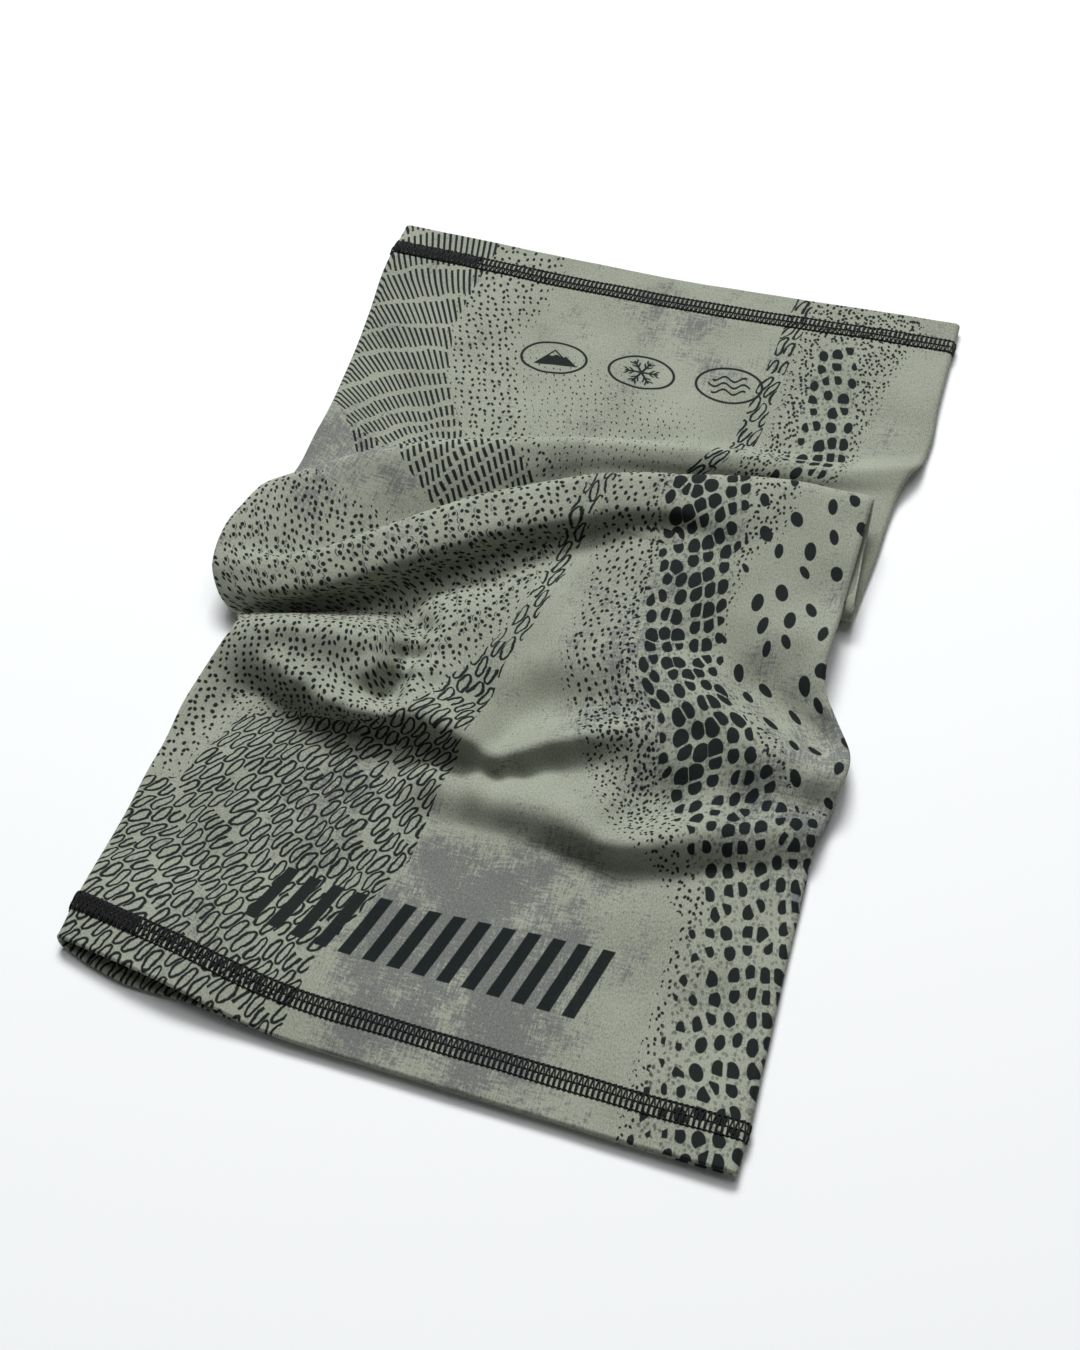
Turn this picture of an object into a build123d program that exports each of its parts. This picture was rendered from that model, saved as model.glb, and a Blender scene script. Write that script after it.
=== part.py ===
from build123d import *
import math
import os

import numpy as np

# A neck gaiter: one printed knit panel closed into a tube by a side seam, both mouths
# hemmed, lying flat on a table with the middle pushed together into soft folds.
# X runs across the tube, +Y along it to the far hem, +Z up; the origin is under the
# middle of the gaiter, on the table. Millimetres.

FABRIC = 0.9  # brushed stretch knit
HEM_TURN = 18.0  # fabric turned to the inside at each mouth
HEM_STRAIGHT = 20.0  # the tube runs straight this far in from a mouth's edge
BODY_DEPTH = 8.0  # height of the flat parts of the tube
FOLD_DEPTH = 5.0  # height of the tube where it is folded on itself

STITCH_INSET = 10.0  # hem edge to the nearest needle row
NEEDLE_GAUGE = 3.2  # between needle rows
NEEDLE_ROWS = 3
THREAD = 0.5  # width of a thread row
THREAD_HEIGHT = 0.3
THREAD_GAP = 0.02  # the seam's threads lie this far off the cloth

SEAM_ALLOWANCE = 7.0  # raw edges sewn together inside the left fold
SEAM_NEEDLE_OFFSETS = (2.0, 3.4)  # from the inside of the left fold
SEAM_LOOPER_START = 4.2
SEAM_LOOPER_WIDTH = 2.6

# Each mouth: the left and right end of the tube's middle line at the hem's edge as
# (x, y, height over the table), and the tube's depth there. The stitching under a hem
# touches the table, so the cloth lies its thickness higher.
NEAR_MOUTH = ((-125, -184, 5.4), (125, -192, 5.4), 9.6)
FAR_MOUTH = ((-125, 175, 5.2), (125, 191, 5.2), 9.2)

# Stations between the hems, from near to far, in the same form. At the left end the
# tube is pushed up into two ridges, the second one tucked under itself; at the right
# end the tuck grows into a deep Z. Each tuck turns through three stations.
STATIONS = [
    ((-121, -130, 4.0), (124, -132, 4.0), BODY_DEPTH),
    ((-120, -104, 6.0), (123, -92, 4.0), BODY_DEPTH),
    ((-119, -82, 15.0), (124, -66, 5.0), 7.0),
    ((-117, -66, 21.0), (127, -48, 11.0), 6.0),
    ((-112, -54, 19.0), (127, -28, 14.0), 6.0),
    ((-109, -44, 14.5), (112, -4, 14.0), 5.5),
    ((-113, -34, 16.0), (109, 18, 17.0), FOLD_DEPTH),
    ((-122, -22, 22.0), (109, 45, 18.2), FOLD_DEPTH),
    ((-128, -8, 25.5), (109, 71, 18.0), FOLD_DEPTH),
    ((-129, -4.6, 21.2), (109, 74, 14.3), FOLD_DEPTH),
    ((-129, -8, 16.9), (110, 71, 10.6), FOLD_DEPTH),
    ((-128, -14.5, 13.4), (113, 34, 10.5), FOLD_DEPTH),
    ((-127, -18, 8.9), (114, 31, 6.7), FOLD_DEPTH),
    ((-126, -14.5, 4.4), (114, 34, 2.9), FOLD_DEPTH),
    ((-123, 8, 5.0), (118, 76, 2.9), FOLD_DEPTH),
    ((-121, 20, 7.0), (121, 94, 6.0), 6.0),
    ((-119, 38, 4.0), (124, 110, 4.0), BODY_DEPTH),
    ((-119, 90, 4.0), (125, 140, 4.0), BODY_DEPTH),
]
STEPS_PER_SPAN = 4  # sections from one station to the next
SAME_PLACE = 1e-4  # two centres nearer than this are one


def hem_rows(mouth, inward):
    """The section at a mouth's edge and the one where its straight hem ends.

    inward is +1 or -1, the side of +Y that the tube lies on.
    """
    left, right, depth = mouth
    edge = np.array([*left, *right, depth], dtype=float)
    run_x, run_y = edge[3] - edge[0], edge[4] - edge[1]
    step = np.array([-run_y, run_x]) / math.hypot(run_x, run_y)
    step = step * HEM_STRAIGHT * inward
    return edge, edge + np.array([*step, 0, *step, 0, 0])


def spread_stations():
    """The stations, the sections between them by a centripetal cubic, and the hems.

    No section reaches under the table. Returns an array of rows (left x, y, z,
    right x, y, z, depth).
    """
    near_edge, near_root = hem_rows(NEAR_MOUTH, 1)
    far_edge, far_root = hem_rows(FAR_MOUTH, -1)
    inner = [(*left, *right, depth) for left, right, depth in STATIONS]
    rows = np.vstack([near_edge, near_root, *inner, far_root, far_edge])
    steps = np.diff((rows[:, 0:3] + rows[:, 3:6]) / 2, axis=0)
    gaps = np.sqrt(np.linalg.norm(steps, axis=1))[:, None]
    slopes = np.diff(rows, axis=0) / gaps
    turned = (slopes[:-1] * gaps[1:] + slopes[1:] * gaps[:-1]) / (gaps[:-1] + gaps[1:])
    start, end, gap = rows[1:-2], rows[2:-1], gaps[1:-1]
    spans = [
        (2 * t**3 - 3 * t**2 + 1) * start
        + (t**3 - 2 * t**2 + t) * gap * turned[:-1]
        + (3 * t**2 - 2 * t**3) * end
        + (t**3 - t**2) * gap * turned[1:]
        for t in np.arange(STEPS_PER_SPAN) / STEPS_PER_SPAN
    ]
    between = np.stack(spans, axis=1).reshape(-1, rows.shape[1])
    between[:, [2, 5]] = np.maximum(between[:, [2, 5]], between[:, [6]] / 2)
    return np.vstack([near_edge, between, far_root, far_edge])


def section_planes(rows):
    """The plane of each section: its x runs across the tube, its z along it."""
    middles = (rows[:, 0:3] + rows[:, 3:6]) / 2
    alongs = np.gradient(middles, axis=0)
    alongs[1], alongs[-2] = alongs[0], alongs[-1]
    planes = []
    for row, middle, along in zip(rows, middles, alongs):
        across = row[3:6] - row[0:3]
        across = across / np.linalg.norm(across)
        along = along - across * np.dot(along, across)
        planes.append(Plane(tuple(middle), x_dir=tuple(across), z_dir=tuple(along)))
    return planes


ROWS = spread_stations()
PLANES = section_planes(ROWS)
WIDTHS = np.linalg.norm(ROWS[:, 3:6] - ROWS[:, 0:3], axis=1)
DEPTHS = ROWS[:, 6]
LAST = len(ROWS) - 1


def slot(i, outset=0.0):
    """The tube's flattened outline at section i, grown by outset on every side."""
    return SlotOverall(WIDTHS[i] + 2 * outset, DEPTHS[i] + 2 * outset)


def neck_space(i):
    """The open space at section i: a slot with the seam allowance standing into it."""
    radius = DEPTHS[i] / 2 - FABRIC
    left = radius + FABRIC - WIDTHS[i] / 2
    right = -left
    rise = math.asin(FABRIC / radius)
    root = left - radius * math.cos(rise)
    tip = FABRIC + SEAM_ALLOWANCE - WIDTHS[i] / 2
    half = (rise + math.pi / 2) / 2
    bulge_x, bulge_y = left - radius * math.cos(half), radius * math.sin(half)
    outline = [
        ThreePointArc((root, FABRIC), (bulge_x, bulge_y), (left, radius)),
        Line((left, radius), (right, radius)),
        ThreePointArc((right, radius), (right + radius, 0), (right, -radius)),
        Line((right, -radius), (left, -radius)),
        ThreePointArc((left, -radius), (bulge_x, -bulge_y), (root, -FABRIC)),
        Polyline((root, -FABRIC), (tip, -FABRIC), (tip, FABRIC), (root, FABRIC)),
    ]
    return make_face(outline)


def skin(sections):
    """The ruled faces through sections, one span at a time, without the two ends."""
    faces = []
    for start, end in zip(sections, sections[1:]):
        span = loft([start, end], ruled=True)
        ends = (start.center(), end.center())
        for face in span.faces():
            if min((face.center() - e).length for e in ends) > SAME_PLACE:
                faces.append(face)
    return faces


def knit_panel():
    """The printed fabric: a hollow tube with its seam allowance, doubled at the hems."""
    outside = [PLANES[i] * slot(i) for i in range(LAST + 1)]
    inside = [PLANES[i] * neck_space(i) for i in range(LAST + 1)]
    rims = [PLANES[i] * (slot(i) - neck_space(i)) for i in (0, LAST)]
    skins = skin(outside) + skin(inside)
    skins += [face for rim in rims for face in rim.faces()]
    panel = Solid(Shell(skins))
    for mouth, i in (("near", 0), ("far", LAST)):
        turned = slot(i, -FABRIC / 2) - slot(i, -2 * FABRIC)
        panel = panel.fuse(extrude(hem_plane(mouth, 0.0) * turned, HEM_TURN))
    return panel


def hem_plane(mouth, inset):
    """The section plane that lies inset from a mouth's edge, facing into the tube."""
    edge = PLANES[0] if mouth == "near" else PLANES[LAST]
    inward = edge.z_dir if mouth == "near" else -edge.z_dir
    return Plane(edge.origin + inward * inset, x_dir=edge.x_dir, z_dir=inward)


def thread_ring(mouth, inset, width, low, high):
    """A flat ring of thread round a hem, between two heights over the fabric."""
    i = 0 if mouth == "near" else LAST
    return extrude(hem_plane(mouth, inset) * (slot(i, high) - slot(i, low)), width)


def hem_threads(mouth):
    """Three needle threads and the looper thread that crosses over them."""
    threads = {}
    for row in range(NEEDLE_ROWS):
        inset = STITCH_INSET + row * NEEDLE_GAUGE
        name = f"{mouth}_hem_needle_thread_{row + 1}"
        threads[name] = thread_ring(mouth, inset, THREAD, 0.0, THREAD_HEIGHT)
    width = (NEEDLE_ROWS - 1) * NEEDLE_GAUGE + THREAD
    top = 2 * THREAD_HEIGHT
    name = f"{mouth}_hem_looper_thread"
    threads[name] = thread_ring(mouth, STITCH_INSET, width, THREAD_HEIGHT, top)
    return threads


def seam_strip(start, width, low, high):
    """A band of thread on the seam allowance, from hem to hem.

    start is its distance from the inside of the left fold; low and high are its
    heights over the tube's middle surface.
    """
    sections = []
    for i in range(1, LAST):
        x = FABRIC + start + width / 2 - WIDTHS[i] / 2
        y = (low + high) / 2
        sections.append(PLANES[i] * Pos(x, y) * Rectangle(width, high - low))
    ends = [sections[0].face(), sections[-1].face()]
    return Solid(Shell(skin(sections) + ends))


def seam_threads():
    """The two needle threads and two loopers of the side seam, inside the tube."""
    low = FABRIC + THREAD_GAP
    top = low + THREAD_HEIGHT
    threads = {}
    for number, offset in enumerate(SEAM_NEEDLE_OFFSETS, start=1):
        name = f"side_seam_needle_thread_{number}"
        threads[name] = seam_strip(offset, THREAD, low, top)
    looper = (SEAM_LOOPER_START, SEAM_LOOPER_WIDTH)
    threads["side_seam_looper_thread_1"] = seam_strip(*looper, low, top)
    threads["side_seam_looper_thread_2"] = seam_strip(*looper, -top, -low)
    return threads


def main():
    os.makedirs("parts", exist_ok=True)
    nodes = {"knit_panel": knit_panel()}
    nodes.update(hem_threads("near"))
    nodes.update(hem_threads("far"))
    nodes.update(seam_threads())
    for name, shape in nodes.items():
        shape.label = name
        export_step(shape, f"parts/{name}.step")


main()
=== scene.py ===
"""A printed neck gaiter lying flat, its middle pushed together into soft folds.

Lengths in the tables below are millimetres in the frame's axes: X across the tube, +Y
along it to the far hem, +Z up from the table. Meshes are written in metres.
"""

import bpy
import numpy as np
from mathutils import Matrix, Vector


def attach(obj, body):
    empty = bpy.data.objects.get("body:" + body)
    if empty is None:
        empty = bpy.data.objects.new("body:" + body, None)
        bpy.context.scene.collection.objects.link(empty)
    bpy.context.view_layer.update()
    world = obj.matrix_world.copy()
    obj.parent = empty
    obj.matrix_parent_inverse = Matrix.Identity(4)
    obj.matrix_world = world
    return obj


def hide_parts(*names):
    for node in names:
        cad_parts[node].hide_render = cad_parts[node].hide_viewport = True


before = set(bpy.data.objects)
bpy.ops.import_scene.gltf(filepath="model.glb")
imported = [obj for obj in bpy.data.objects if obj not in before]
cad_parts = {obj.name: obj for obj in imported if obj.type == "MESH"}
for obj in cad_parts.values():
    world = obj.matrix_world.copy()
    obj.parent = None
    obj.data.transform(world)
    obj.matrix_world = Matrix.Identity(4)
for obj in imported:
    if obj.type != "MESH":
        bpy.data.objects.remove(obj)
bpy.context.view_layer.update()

MM = 0.001

# ---------------------------------------------------------------- camera

CAMERA_PLACE = (119, -391, 605)
CAMERA_AIM = (-0.159, 0.509, -0.846)
CAMERA_LENS = 50.0
CAMERA_NEAREST = 0.01  # metres


def add_camera():
    """A 50 mm camera level across the picture, looking down at the near hem's side."""
    data = bpy.data.cameras.new("camera")
    data.lens = CAMERA_LENS
    data.clip_start = CAMERA_NEAREST
    camera = bpy.data.objects.new("camera", data)
    bpy.context.collection.objects.link(camera)
    aim = np.array(CAMERA_AIM)
    back = -aim / np.linalg.norm(aim)
    right = np.cross((0, 0, 1), back)
    right /= np.linalg.norm(right)
    up = np.cross(back, right)
    place = np.array(CAMERA_PLACE) * MM
    matrix = np.eye(4)
    matrix[:3, 0], matrix[:3, 1], matrix[:3, 2], matrix[:3, 3] = right, up, back, place
    camera.matrix_world = Matrix(matrix.tolist())
    bpy.context.scene.camera = camera


# ---------------------------------------------------------------- the lay of the cloth

CLOTH = 0.9  # thickness
HALF_WIDTH = 125.0  # of the tube laid flat
COLUMNS = (-125, -85, -45, 0, 45, 90, 125)  # where the lines below are given

# Lines across the front layer from the far hem to the near one. Each gives y and z at
# the seven columns, x at the left and right side fold, and the gap down to the back.
LINES = [
    # far hem and the flat part beyond the folds
    ((177.5, 178.5, 179.5, 181.5, 185, 189.5, 192.5),
     (5.6, 5.6, 5.4, 5.2, 5.2, 5.2, 5.2), (-121, 125), 3.6),
    ((155, 157, 160, 163, 166, 169, 171),
     (5.2, 5.2, 5.0, 5.0, 5.0, 5.0, 5.0), (-122, 125), 3.6),
    ((110, 118, 122, 128, 134, 140, 146),
     (4.6, 4.6, 4.6, 4.6, 4.6, 4.8, 4.8), (-118, 125), 3.2),
    ((60, 80, 90, 100, 112, 120, 130),
     (4.6, 4.8, 5.0, 5.0, 5.0, 5.0, 4.6), (-117, 126), 3.0),
    ((31, 56, 71, 86, 97, 105, 118),
     (5.5, 6.0, 6.0, 5.6, 5.0, 4.4, 4.2), (-119, 125), 2.8),
    # first ridge: its hidden back, its crest, its front
    ((23, 50, 66, 82, 93, 100, 113),
     (11, 14, 15, 13, 10, 7.2, 5.6), (-121, 124), 2.6),
    ((14, 42, 59, 75, 87, 95, 108),
     (17, 20.5, 21, 18, 14, 10, 7.4), (-124, 122), 2.6),
    ((2, 26, 46, 68, 81, 90, 102),
     (19.5, 18, 18, 16, 12.5, 9.5, 6.6), (-126.5, 120), 2.6),
    # the hollow between the ridges, which on the right runs in under the second one
    ((-6, 6, 33, 62, 76, 85, 94),
     (20.3, 14, 12.5, 12, 8.6, 6.4, 5.0), (-127.8, 118), 2.4),
    ((-12, -3, 26, 52, 58, 62, 64),
     (20.4, 12.5, 10.5, 8.0, 5.2, 4.6, 4.4), (-128, 116), 2.4),
    ((-16, -8, 22, 43, 37, 34, 33),
     (20, 13, 10.5, 7.4, 5.4, 4.8, 4.6), (-128, 114), 2.4),
    ((-19, -10.5, 20.5, 40, 33, 30.5, 29.5),
     (19.5, 15.5, 12.5, 9.8, 8.2, 7.6, 7.2), (-128, 114), 2.4),
    ((-21.5, -11, 20.5, 42.5, 37, 34, 33),
     (19.2, 18.5, 15.5, 12.4, 11, 10.4, 9.8), (-127.8, 113), 2.4),
    # second ridge: underside, back edge, crest, front
    ((-24, -11.5, 21.5, 48, 62, 70, 73),
     (18.8, 21, 18.5, 16, 13.4, 12, 11), (-127.4, 110), 2.4),
    ((-26.5, -12.5, 21.5, 51, 67.5, 77, 81),
     (18.2, 23.2, 22.0, 19.6, 18.6, 18.0, 16.2), (-126.8, 109), 2.4),
    ((-29, -15.5, 17.5, 47.5, 64, 73.5, 77.5),
     (16.8, 25.2, 25.6, 24.0, 23.2, 22.4, 20.4), (-126, 109), 2.4),
    ((-32.5, -21, 10, 40.5, 55, 61, 63),
     (14, 24.6, 25.6, 24.6, 23, 21.8, 19.6), (-124, 109), 2.6),
    ((-36, -28.5, -0.5, 29, 48, 50, 50),
     (10.5, 21.2, 22.6, 21.8, 20.6, 19.8, 17.8), (-121, 109), 2.6),
    # where the roll meets the cloth in front of it
    ((-38, -24, 0.5, 28, 44.5, 39, 38),
     (8, 10.6, 10.4, 12, 14.6, 17.4, 15.6), (-117, 109), 2.6),
    ((-40, -25, -4, 20, 34, 26, 25),
     (6.2, 6.4, 8, 10.5, 13, 14.8, 13.4), (-112, 109), 2.6),
    # the field of small ridges in front, whose heights follow SPOT_HEIGHTS
    ((-46, -33, -14, 9, 16, 13, 9),
     (9, 15, 9, 12, 12.4, 11.8, 11), (-110, 108), 2.8),
    ((-54, -51, -38, -22, -16, -14, -8),
     (14, 16, 9, 14, 16, 15, 12), (-112, 111), 2.8),
    ((-66, -64, -56, -46, -40, -36, -30),
     (14, 14, 12, 12, 14, 14, 13), (-115, 125), 2.8),
    ((-80, -78, -74, -68, -64, -60, -50),
     (9, 8, 12, 13, 12, 10, 9), (-117, 125), 2.8),
    ((-94, -92, -90, -88, -86, -80, -70),
     (6, 6, 8, 12, 13, 9, 8), (-118, 122), 3.0),
    ((-112, -111, -110, -109, -108, -104, -98),
     (5, 5, 5, 6, 6, 6, 5), (-119, 122), 3.2),
    ((-138, -139, -140, -141, -142, -140, -138),
     (4.8, 4.8, 4.8, 4.8, 4.8, 4.8, 4.6), (-120, 123), 3.4),
    # near hem
    ((-164, -167, -171, -172, -173, -173, -173),
     (8.6, 9.8, 7.0, 5.2, 5.0, 5.2, 5.8), (-121, 124), 4.4),
    ((-182, -187.5, -192.5, -193, -193, -193, -192.5),
     (6.6, 10.2, 5.4, 4.6, 4.6, 5.0, 5.8), (-122, 124), 4.8),
]
FIRST_FIELD_LINE = 20  # the line from which SPOT_HEIGHTS takes over

# Heights of the front layer over the table in the field of small ridges, as x, y, z.
SPOT_HEIGHTS = {
    "lobe crest": [
        (-100, -46, 18.6), (-87, -43.5, 21.2), (-73, -40.5, 21.6), (-60, -38, 21.4),
        (-53, -37.5, 20.4),
    ],
    "lobe": [
        (-56, -50, 20), (-70, -51, 20), (-85, -52, 20), (-49.5, -44, 19.8), (-47.6, -52, 17.5),
        (-50, -57, 16.5),
    ],
    "behind the lobe": [
        (-100, -34, 7), (-87, -31, 6.5), (-72, -27, 6.5), (-57, -23, 7),
    ],
    "groove": [
        (-45, -14, 8), (-42.5, -26, 4.4), (-41.8, -38, 3.6), (-41.8, -49, 3.6), (-43, -57, 5),
    ],
    "groove sides": [
        (-38.6, -22, 12), (-38, -34, 14), (-37.8, -46, 15), (-37.8, -56, 16),
        (-46.6, -38, 16.5), (-45.8, -46, 15.5),
    ],
    "pocket": [
        (-90, -56, 18.4), (-80, -59, 17.4), (-68, -61.5, 16.2), (-56, -63, 14.6),
        (-47, -62, 10),
    ],
    "long crest": [
        (-96, -58, 18), (-85, -62.5, 20), (-76, -67.5, 21), (-61, -72.5, 21), (-48, -72, 20.5),
        (-39, -70.5, 20), (-29, -70.5, 20), (-18, -72, 20), (-7.5, -73.5, 19.5),
        (4, -75.5, 17.2), (10, -71, 18.6), (15.5, -67, 18.6), (23.5, -63, 18.6), (31, -58, 18),
        (42, -51, 16.5),
    ],
    "foot of the long crest": [
        (-106, -74, 6.5), (-95, -67.5, 6), (-85, -69.5, 5.6), (-76, -72.5, 5.2), (-61, -76, 5),
        (-48, -75.5, 5), (-39, -74, 5), (-29, -74, 5.2), (-18, -75.5, 5.8), (-8, -77, 6.8),
        (3, -78.5, 8.2), (12, -74, 8.8), (22, -67, 9.4), (34, -60, 10.4), (46, -55, 12),
    ],
    "swell right of the groove": [
        (-30, -12, 12.6), (-30, -38, 15), (-30, -53, 15), (-20, -24, 14), (-18, -44, 14.2),
        (-13, -55, 14),
    ],
    "slight fold": [
        (-8, 2, 12), (-8, -14, 12.6), (-6, -30, 12.4), (3, 2, 15), (3, -14, 15.8),
        (4, -30, 14.6),
    ],
    "valley behind the long crest": [
        (4, -65, 10.5), (12, -57, 10), (24, -50, 10.5), (37, -44, 12),
    ],
    "below the roll": [
        (20, 8, 12.4), (42, 12, 12.4), (60, 8, 11.6), (82, 0, 10.4), (98, -8, 10),
        (113, -16, 10.5), (24, 36, 15), (60, 36, 16.5), (95, 32, 16),
    ],
    "valley on the right": [
        (62, -8, 9), (80, -17, 6.6), (97, -25, 5), (112, -31, 4.6),
    ],
    "right crest": [
        (18, -30, 15), (40, -17, 15.6), (60, -20.5, 16.4), (75, -27.5, 16.6), (90, -36, 16.4),
        (104, -41, 15.8), (118, -44, 14.6),
    ],
    "in front of the right crest": [
        (50, -36, 15.4), (72, -44, 14.8), (66, -56, 13.2), (88, -53, 13.2), (108, -54, 12),
    ],
    "slope before the low crest": [
        (0, -82, 11.2), (12, -80, 11.6), (24, -76, 11.2), (36, -74, 10.4), (48, -77, 9),
    ],
    "valley behind the low crest": [
        (53, -86, 9.5), (62, -83, 9), (73, -75, 8), (94, -66, 7.4), (117, -57.5, 7.2),
    ],
    "low crest": [
        (-18, -86, 10), (0, -88, 12.4), (12, -88.5, 13.6), (21, -89, 14.6), (32, -91, 15.6),
        (42, -93.5, 16.4), (52, -95.8, 16.6), (60, -92, 16.2), (68, -87, 15.6), (76, -81.5, 15),
        (88, -76.5, 14), (103, -72, 13), (116, -66, 11.8),
    ],
    "foot of the low crest": [
        (-16, -98, 5), (0, -98, 5), (14, -98, 5), (30, -99, 4.8), (42, -100, 4.6),
        (52, -101, 4.6), (62, -99, 4.8), (72, -95.5, 5), (86, -90, 5.2), (100, -85, 5.2),
        (117, -79, 5),
    ],
    "flat in front": [
        (-112, -92, 5), (-80, -84, 4.6), (-45, -86, 4.6), (-100, -104, 4.8), (-20, -108, 4.8),
        (20, -110, 4.8), (60, -112, 4.8), (-60, -122, 4.8), (0, -126, 4.8), (100, -118, 4.8),
        (-60, -150, 5), (60, -150, 4.8),
    ],
}
FOLD_LEAN = 0.35  # how far the folds lean to the near hem for each millimetre they rise
FOLD_BASE = 5.0  # the height from which they lean
LOWEST_FRONT = 4.3  # height of the front layer where it lies flat

# length, direction in degrees, phase and height of each slight wave over the cloth
WAVES = [
    (46, 68, 0.4, 0.34), (31, 112, 1.9, 0.22), (23, 38, 3.1, 0.14), (17, 148, 4.4, 0.10),
    (61, 15, 5.2, 0.3),
]
WAVE_BEND, WAVE_BEND_REACH = 6, 37  # how far a wave's crest winds, and how slowly
WAVE_AT_HEMS = 0.25  # the share of their height that the waves keep at the hems

PLATE_SOFTNESS = 1.5  # how far the field may pass its spot heights by
ROW_PITCH = 0.6  # rows of the cloth's first grid along it
COLUMN_PITCH = 1.55
FRONT_SMOOTHING, BACK_SMOOTHING = 6, 30  # times that each layer is smoothed
CUT_LENGTH = 480.0  # of the tube from edge to edge, when smoothed out
HEM_TURN = 18.0  # how far a hem is turned in
HEM_ROWS = 12
HEM_FOLD = 0.65  # radius of the cloth's middle where a hem turns in
HEM_FOLD_STEPS = 6
HEM_ZONE = 30.0  # length from each edge in which rows keep their true distance from it
HEM_LIFT = 0.75  # room for the stitches between the back's hems and the table
MOUTH = (-90, 34, 5.0)  # where the near mouth stands open, how widely and by how much
MOUTH_LIP = (-104, 22, 4.0)  # where its lower lip stands out, how widely and how far
LOWEST_BACK = 0.6 * CLOTH  # height of the back layer's middle where it lies on the table
MIDDLE_ROWS = 330
LEAST_GAP = 1e-3  # between the middles of the two layers
SIDE_FOLD = 2.2  # radius of the tube's side folds
SIDE_STEPS = 5


def hermite(t, start, end, slope_start, slope_end):
    """The cubic from start to end whose slopes per unit of t are given."""
    return (
        (2 * t**3 - 3 * t**2 + 1) * start
        + (t**3 - 2 * t**2 + t) * slope_start
        + (3 * t**2 - 2 * t**3) * end
        + (t**3 - t**2) * slope_end
    )


def knot_slopes(knots, values):
    """Slopes at uneven knots: the two neighbouring chords, weighted by nearness."""
    gaps = np.diff(knots, axis=0)
    chords = np.diff(values, axis=0) / gaps
    inner = (chords[:-1] * gaps[1:] + chords[1:] * gaps[:-1]) / (gaps[:-1] + gaps[1:])
    return np.concatenate([chords[:1], inner, chords[-1:]])


def curve_through(knots, values, places):
    """A smooth curve through values at the knots, read at the places."""
    knots, values = np.asarray(knots, float), np.asarray(values, float)
    slopes = knot_slopes(knots, values)
    i = np.clip(np.searchsorted(knots, places) - 1, 0, len(knots) - 2)
    gap = knots[i + 1] - knots[i]
    t = (places - knots[i]) / gap
    return hermite(t, values[i], values[i + 1], slopes[i] * gap, slopes[i + 1] * gap)


def column_places():
    """Where the grid's columns run across the flat tube, and how far each is out.

    Returns x from side fold to side fold, and the cosine of its turn round the fold.
    """
    turn = np.linspace(0, np.pi / 2, SIDE_STEPS + 1)[1:]
    flat = HALF_WIDTH - SIDE_FOLD
    inner = np.linspace(-flat, flat, int(2 * flat / COLUMN_PITCH) + 1)
    outer = flat + SIDE_FOLD * np.sin(turn)
    x = np.concatenate([-outer[::-1], inner, outer])
    share = np.concatenate([np.cos(turn)[::-1], np.ones(len(inner)), np.cos(turn)])
    return x, share


def thin_plate(x, y):
    """The height of the smooth plate bent through every spot height, before it leans.

    It is a plane and, for each spot, a weight times r * r * log(r * r), where r is the
    distance from the spot; the weights are solved so that the plate meets the spots.
    """
    spots = np.array([spot for place in SPOT_HEIGHTS.values() for spot in place], float)

    def bend(dx, dy):
        square = dx**2 + dy**2
        return square * np.log(square + 1e-9)

    count = len(spots)
    sx, sy, sz = spots.T
    sy = sy + FOLD_LEAN * (sz - FOLD_BASE)
    plane = np.column_stack([np.ones(count), sx, sy])
    system = np.zeros((count + 3, count + 3))
    system[:count, :count] = bend(sx[:, None] - sx, sy[:, None] - sy)
    system[:count, :count] += np.eye(count) * PLATE_SOFTNESS
    system[:count, count:], system[count:, :count] = plane, plane.T
    weights = np.linalg.solve(system, np.concatenate([sz, np.zeros(3)]))
    flat_x, flat_y = x.ravel(), y.ravel()
    height = weights[count] + weights[count + 1] * flat_x + weights[count + 2] * flat_y
    height += bend(flat_x[:, None] - sx, flat_y[:, None] - sy) @ weights[:count]
    return height.reshape(x.shape)


def smooth_step(low, high, value):
    """0 at low, 1 at high, and 3 t^2 - 2 t^3 of the share t of the way between."""
    t = np.clip((value - low) / (high - low), 0, 1)
    return t * t * (3 - 2 * t)


def smoothed(grid, times):
    """The grid with each inner point moved towards the mean of its four neighbours."""
    grid = grid.copy()
    for _ in range(times):
        mean = (grid[:-2, 1:-1] + grid[2:, 1:-1] + grid[1:-1, :-2] + grid[1:-1, 2:]) / 4
        grid[1:-1, 1:-1] = (grid[1:-1, 1:-1] + mean) / 2
    return grid


def grid_normals(grid):
    """Unit normals of a grid whose rows run to the near hem and columns to the right."""
    down, right = np.gradient(grid, axis=0), np.gradient(grid, axis=1)
    normal = np.cross(down, right)
    return normal / np.linalg.norm(normal, axis=2, keepdims=True)


def undulation(x, y, number):
    """Slight waves of the cloth: sines of the wave lengths and directions in WAVES.

    They are strongest in the folds and fade away to the hems.
    """
    height = 0
    for length, degrees, phase, size in WAVES:
        angle = np.radians(degrees)
        aside = x * np.sin(angle) - y * np.cos(angle)
        bend = WAVE_BEND * np.sin(aside / WAVE_BEND_REACH + phase)
        ahead = x * np.cos(angle) + y * np.sin(angle) + bend
        height = height + size * np.sin(2 * np.pi * ahead / length + phase)
    fade = smooth_step(1, 4, number)
    fade *= 1 - smooth_step(len(LINES) - 5, len(LINES) - 1.6, number)
    return height * (WAVE_AT_HEMS + (1 - WAVE_AT_HEMS) * fade)[:, None]


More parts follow.
